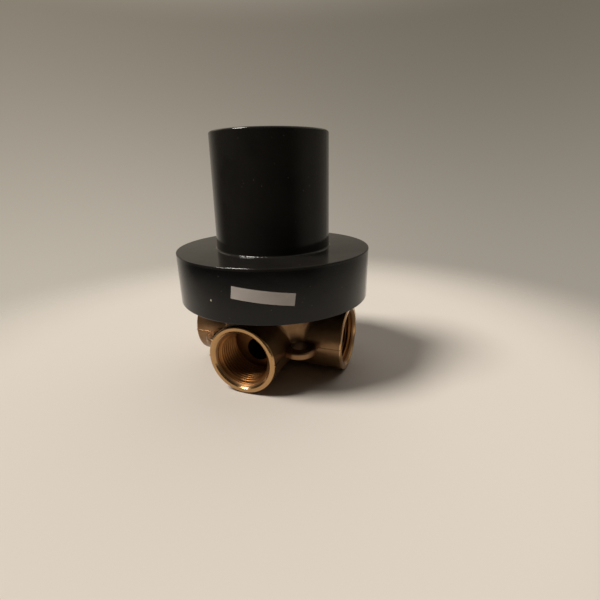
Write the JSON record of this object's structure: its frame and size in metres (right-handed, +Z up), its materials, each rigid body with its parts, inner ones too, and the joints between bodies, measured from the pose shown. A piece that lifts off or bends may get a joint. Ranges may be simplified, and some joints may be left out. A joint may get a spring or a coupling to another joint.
{
  "type": "shower transfer valve",
  "caption": "Rough-in brass valve body with female pipe ports round a ceramic disc cartridge, which sends water from the inlet to the chosen outlet, under a black plastic plaster guard.",
  "frame": {"origin": "on the spindle axis, in the plane of the body's flat foot", "axes": "+Z up the spindle axis towards the handle's end; -Y out of the inlet port; +X out of the right outlet port; the stem rests turned to the back outlet, +Y"},
  "size_m": [0.097, 0.097, 0.1174],
  "materials": {
    "cast_brass": "sand-cast brass, dull outside, bright on the machined port faces and bores",
    "turned_brass": "turned brass, satin",
    "black_plastic": "black ABS, moulded, glossy with fine scratches",
    "grey_plastic": "grey acetal, moulded",
    "white_plastic": "natural acetal, moulded",
    "black_rubber": "EPDM, satin",
    "ceramic": "alumina, lapped",
    "spring_steel": "stainless spring steel, bright",
    "white_paper": "coated paper label, blank"
  },
  "bodies": {
    "body": {"valve_body": "cast_brass", "cartridge_base": "grey_plastic", "inlet_seal": "black_rubber", "outlet_seal_right": "black_rubber", "outlet_seal_back": "black_rubber", "outlet_seal_left": "black_rubber", "fixed_disc": "ceramic", "cartridge_sleeve": "turned_brass", "body_o_ring": "black_rubber", "bonnet_nut": "turned_brass"},
    "stem": {"stem": "turned_brass", "moving_disc": "ceramic", "disc_driver": "white_plastic", "stem_o_ring_lower": "black_rubber", "stem_o_ring_upper": "black_rubber", "thrust_washer": "white_plastic", "stop_ring": "white_plastic", "stem_clip": "spring_steel"},
    "guard": {"plaster_guard": "black_plastic", "label": "white_paper"}
  },
  "joints": [
    {"name": "stem_turn", "type": "hinge", "parent": "body", "child": "stem", "pos_m": [0, 0, 0.06], "axis": [0, 0, 1], "range_deg": [-90, 90]},
    {"name": "guard_lift", "type": "slide", "parent": "body", "child": "guard", "axis": [0, 0, 1], "range_m": [0, 0.075]}
  ]
}
